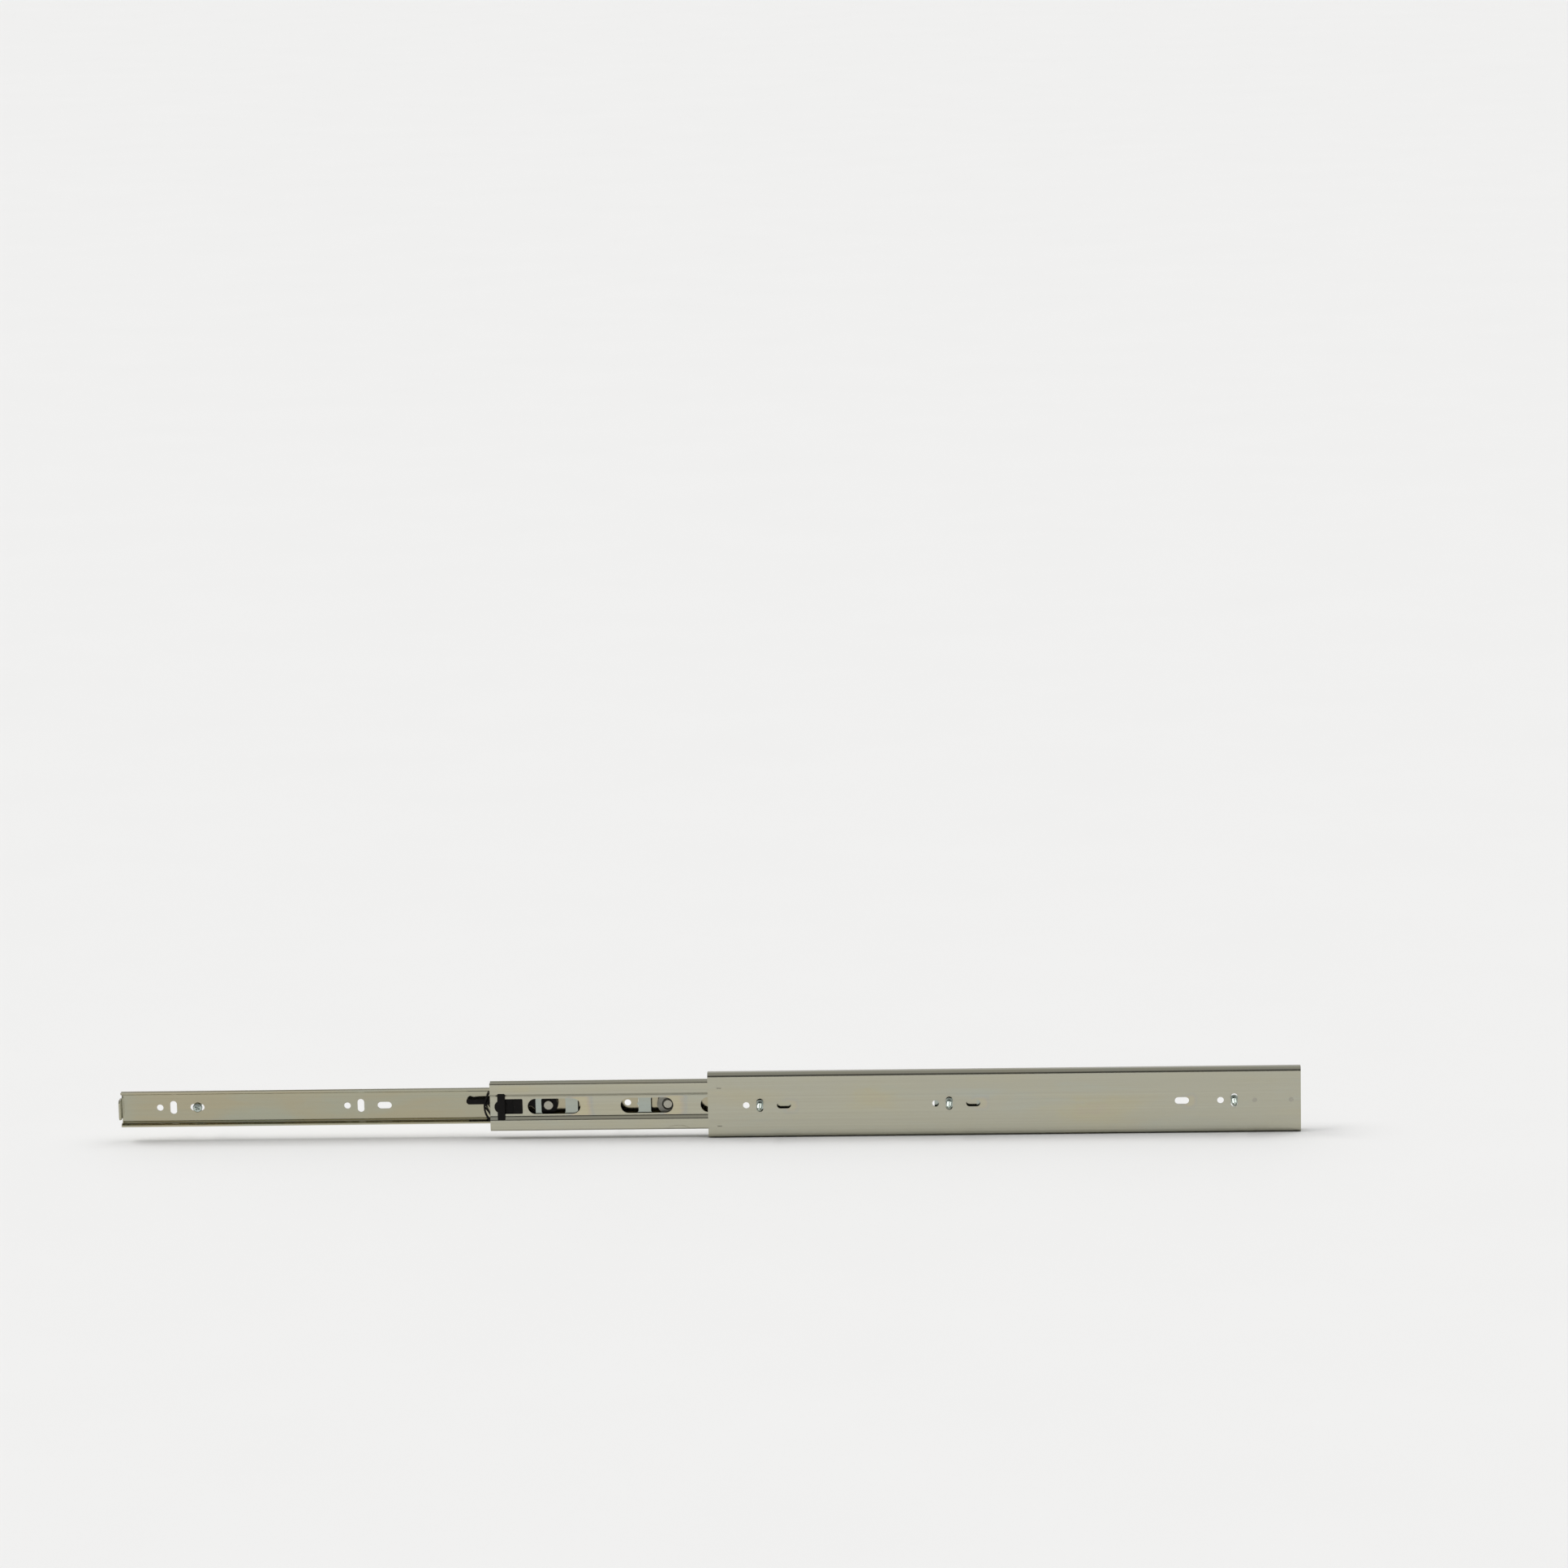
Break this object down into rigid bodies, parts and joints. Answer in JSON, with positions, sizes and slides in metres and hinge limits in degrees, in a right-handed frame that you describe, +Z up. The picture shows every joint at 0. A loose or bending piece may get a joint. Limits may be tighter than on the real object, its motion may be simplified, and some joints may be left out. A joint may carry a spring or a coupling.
{
  "type": "drawer slide",
  "caption": "Full-extension side-mount ball-bearing drawer slide: nested rolled zinc-plated channels on ball cages, with release lever and rear catch, drawn open.",
  "frame": {"origin": "front end of the cabinet member, on its mounting face, at mid height", "axes": "+X along the slide into the cabinet (closing direction), +Y from the cabinet wall to the drawer side, +Z up"},
  "size_m": [0.8012, 0.0398, 0.045],
  "materials": {
    "zinc_cabinet": "bright zinc plate, rolled",
    "zinc_intermediate": "bright zinc plate, rolled",
    "zinc_drawer": "bright zinc plate, rolled",
    "zinc_cage": "blue-white zinc plate",
    "screw_zinc": "blue-white zinc plate",
    "rivet_steel": "bright zinc plate",
    "ball_steel": "polished, lightly greased",
    "black_plastic": "satin moulded",
    "black_rubber": "matt",
    "grey_nylon": "satin moulded"
  },
  "bodies": {
    "cabinet": {"cabinet_member": "zinc_cabinet", "cabinet_screws": "screw_zinc", "rear_catch": "black_plastic", "rear_buffer": "black_rubber", "rear_catch_rivets": "rivet_steel"},
    "outer_retainer": {"outer_ball_retainer": "zinc_cage", "outer_balls_upper": "ball_steel", "outer_balls_lower": "ball_steel"},
    "intermediate": {"intermediate_member": "zinc_intermediate", "front_bumper": "black_plastic"},
    "inner_retainer": {"inner_ball_retainer": "zinc_cage", "inner_balls_upper": "ball_steel", "inner_balls_lower": "ball_steel"},
    "drawer": {"drawer_member": "zinc_drawer", "drawer_screws": "screw_zinc", "lever_rivet": "rivet_steel", "detent_rivet": "rivet_steel"},
    "lever": {"release_lever": "black_plastic", "lever_spring_leg": "black_plastic"},
    "roller": {"detent_roller": "grey_nylon"}
  },
  "joints": [
    {"name": "intermediate_slide", "type": "slide", "parent": "cabinet", "child": "intermediate", "axis": [1, 0, 0], "range_m": [0, 0.154]},
    {"name": "outer_retainer_slide", "type": "slide", "parent": "cabinet", "child": "outer_retainer", "axis": [1, 0, 0], "range_m": [0, 0.077]},
    {"name": "drawer_slide", "type": "slide", "parent": "intermediate", "child": "drawer", "axis": [1, 0, 0], "range_m": [0, 0.246]},
    {"name": "inner_retainer_slide", "type": "slide", "parent": "intermediate", "child": "inner_retainer", "axis": [1, 0, 0], "range_m": [0, 0.123]},
    {"name": "lever_pivot", "type": "hinge", "parent": "drawer", "child": "lever", "pos_m": [-0.1086, 0.0094, 0], "axis": [0, 1, 0], "range_deg": [-6.5, 0], "stiffness_Nm_per_rad": 0.03, "springref_deg": 6.88, "deforming": ["lever_spring_leg"]},
    {"name": "roller_spin", "type": "hinge", "parent": "drawer", "child": "roller", "pos_m": [-0.0274, 0.0092, 0], "axis": [0, 1, 0], "continuous": true}
  ],
  "couplings": [
    {"joint": "outer_retainer_slide", "follows": "intermediate_slide", "ratio": 0.5},
    {"joint": "inner_retainer_slide", "follows": "drawer_slide", "ratio": 0.5}
  ]
}
